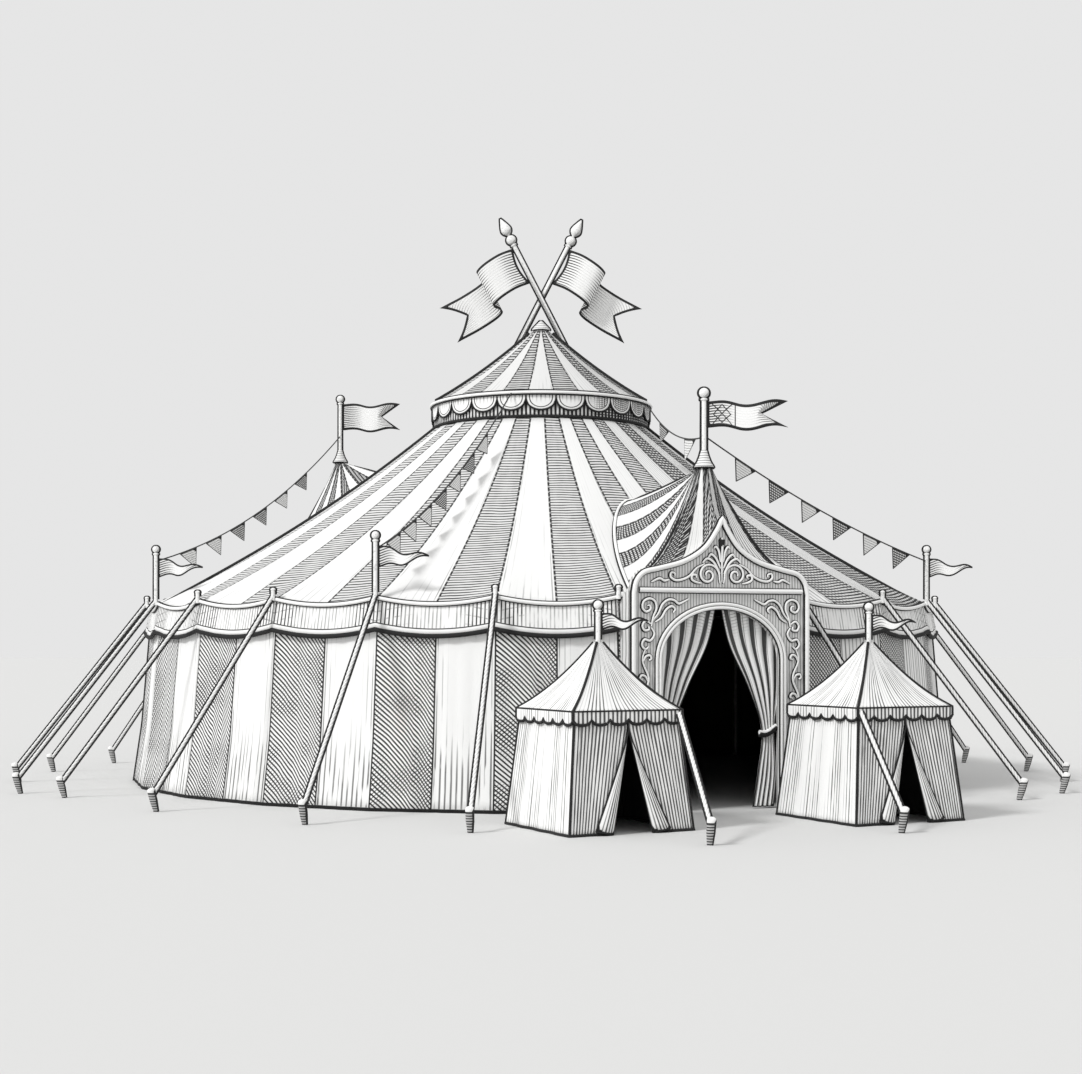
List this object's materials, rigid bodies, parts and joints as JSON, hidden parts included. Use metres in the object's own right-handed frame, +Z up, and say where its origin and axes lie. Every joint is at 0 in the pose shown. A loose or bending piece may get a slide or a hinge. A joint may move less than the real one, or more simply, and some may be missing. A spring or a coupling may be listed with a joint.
{
  "type": "circus big top tent",
  "caption": "Round show tent with a peaked crown, a carved portal under a porch canopy, guy ropes, flags, bunting and two small square booths in front.",
  "frame": {"origin": "on the ground at the foot of the king pole, on the tent's axis", "axes": "+Z up, -Y towards the front, the portal stands 21.8 degrees round towards +X"},
  "size_m": [24.0502, 26.3982, 13.1469],
  "materials": {
    "striped_canvas": "matt woven canvas in light and dark stripes",
    "curtain_cloth": "heavy folded cloth in light and dark stripes",
    "flag_cloth": "thin matt bunting cloth",
    "bunting_cloth": "thin matt cloth on a dark cord",
    "rope": "laid rope",
    "painted_wood": "worn pale paint",
    "carved_board": "painted board with raised scrolls"
  },
  "bodies": {
    "root": {"arch_moulding": "carved_board", "booth_1_guy": "rope", "booth_1_pennant": "flag_cloth", "booth_1_pole": "painted_wood", "booth_1_roof": "striped_canvas", "booth_1_walls": "striped_canvas", "booth_2_guy": "rope", "booth_2_pennant": "flag_cloth", "booth_2_pole": "painted_wood", "booth_2_roof": "striped_canvas", "booth_2_walls": "striped_canvas", "bunting_crown": "bunting_cloth", "bunting_east": "bunting_cloth", "bunting_front": "bunting_cloth", "bunting_rear": "bunting_cloth", "crossed_banner_left": "flag_cloth", "crossed_banner_right": "flag_cloth", "crossed_pole_left": "painted_wood", "crossed_pole_right": "painted_wood", "crown_cap": "striped_canvas", "crown_drum": "striped_canvas", "crown_frame": "painted_wood", "crown_valance": "striped_canvas", "cupola_roof": "striped_canvas", "curtain_left": "curtain_cloth", "curtain_right": "curtain_cloth", "eave_frame": "painted_wood", "eave_pennant_1": "flag_cloth", "eave_pennant_2": "flag_cloth", "eave_pennant_3": "flag_cloth", "eave_valance": "striped_canvas", "gable_moulding": "carved_board", "guys_1": "rope", "guys_2": "rope", "guys_3": "rope", "guys_4": "rope", "guys_5": "rope", "guys_6": "rope", "king_pole": "painted_wood", "main_roof": "striped_canvas", "porch_canopy": "striped_canvas", "porch_flag": "flag_cloth", "porch_mast": "painted_wood", "portal_board": "carved_board", "portal_crossbar": "carved_board", "rear_canopy": "striped_canvas", "rear_flag": "flag_cloth", "rear_mast": "painted_wood", "wall_1": "striped_canvas", "wall_2": "striped_canvas", "wall_3": "striped_canvas", "wall_4": "striped_canvas", "wall_5": "striped_canvas", "wall_6": "striped_canvas"}
  },
  "joints": []
}
